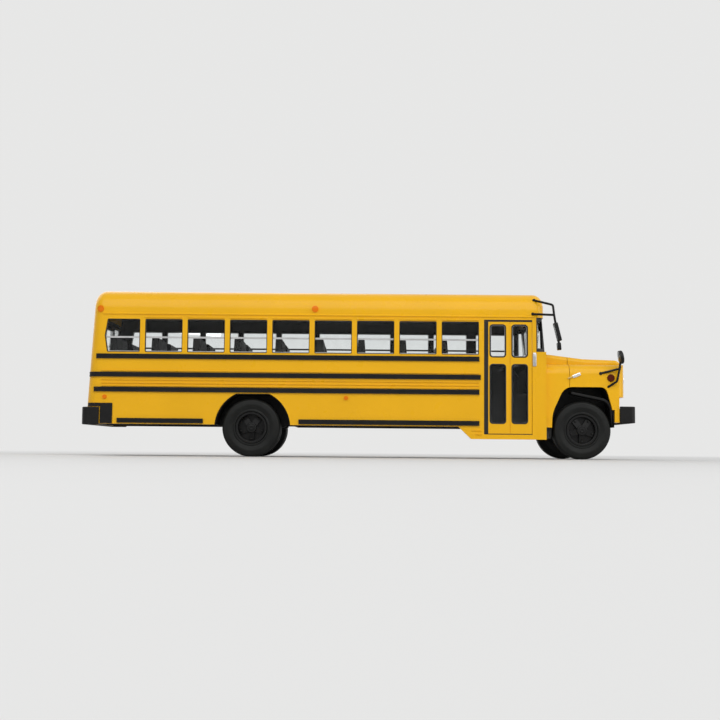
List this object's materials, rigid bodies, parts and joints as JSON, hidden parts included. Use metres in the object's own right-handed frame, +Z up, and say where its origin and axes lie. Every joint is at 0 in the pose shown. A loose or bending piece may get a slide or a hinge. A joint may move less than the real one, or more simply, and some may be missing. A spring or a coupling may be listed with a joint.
{
  "type": "scale model of a school bus",
  "caption": "Die-cast 1:43 display model of a hooded school bus: glazed hollow coach body, rub rails, entrance door, mirrors and lamps, rolling on axles with spoked wheels.",
  "frame": {"origin": "on the ground under the middle of the model's length and width", "axes": "+X to the front of the bus, +Y to its left, +Z up"},
  "size_m": [0.2338, 0.0698, 0.0718],
  "materials": {
    "body_yellow": "gloss",
    "black_rubber": "matte",
    "black_trim": "satin",
    "bright_metal": "polished",
    "clear_lens": "clear",
    "amber_lens": "gloss",
    "red_lens": "gloss",
    "red_sign": "satin",
    "clear_glazing": "clear",
    "black_interior": "matte",
    "black_base": "satin",
    "steel_pin": "brushed",
    "black_rim": "satin",
    "tyre": "matte"
  },
  "bodies": {
    "coach": {"roof": "body_yellow", "side_wall_right": "body_yellow", "side_wall_left": "body_yellow", "rear_wall": "body_yellow", "cowl_panel": "body_yellow", "cowl_quarters": "body_yellow", "hood_and_fenders": "body_yellow", "entrance_door": "body_yellow", "emergency_door": "body_yellow", "door_seal": "black_rubber", "wipers": "black_rubber", "windscreen_frame": "black_rubber", "rub_rails_right": "black_trim", "rub_rails_left": "black_trim", "rear_corner_guards": "black_trim", "front_bumper": "black_trim", "rear_bumper": "black_trim", "mirror_right": "black_trim", "mirror_left": "black_trim", "fender_mirrors": "black_trim", "grille": "black_trim", "headlamp_bezels": "bright_metal", "hood_latches": "bright_metal", "exit_handle": "bright_metal", "window_frames_right": "bright_metal", "window_frames_left": "bright_metal", "headlamps": "clear_lens", "front_turn_lamps": "amber_lens", "warning_lamps_amber": "amber_lens", "marker_lamps_amber": "amber_lens", "warning_lamps_red": "red_lens", "marker_lamps_red": "red_lens", "tail_lamps": "red_lens", "stop_arm": "red_sign", "glass_right": "clear_glazing", "glass_left": "clear_glazing", "windscreen_glass": "clear_glazing", "rear_glass": "clear_glazing", "door_glass": "clear_glazing", "cabin_floor": "black_interior", "entrance_steps": "black_interior", "seats_right": "black_interior", "seats_left": "black_interior", "driver_seat": "black_interior", "dashboard": "black_interior", "steering_wheel": "black_interior", "chassis_base": "black_base", "chassis_frame": "black_base", "driveline": "black_base", "exhaust": "black_base", "front_axle_beam": "black_base", "rear_axle_casing": "black_base", "front_wheel_houses": "black_base", "rear_wheel_houses": "black_base"},
    "front_axle_set": {"front_axle_pin": "steel_pin", "front_rims": "black_rim", "front_tyres": "tyre"},
    "rear_axle_set": {"rear_axle_pin": "steel_pin", "rear_rims": "black_rim", "rear_tyres": "tyre"}
  },
  "joints": [
    {"name": "front_axle_roll", "type": "hinge", "parent": "coach", "child": "front_axle_set", "pos_m": [0.0942, 0, 0.01225], "axis": [0, 1, 0], "continuous": true},
    {"name": "rear_axle_roll", "type": "hinge", "parent": "coach", "child": "rear_axle_set", "pos_m": [-0.04555, 0, 0.01225], "axis": [0, 1, 0], "continuous": true}
  ]
}
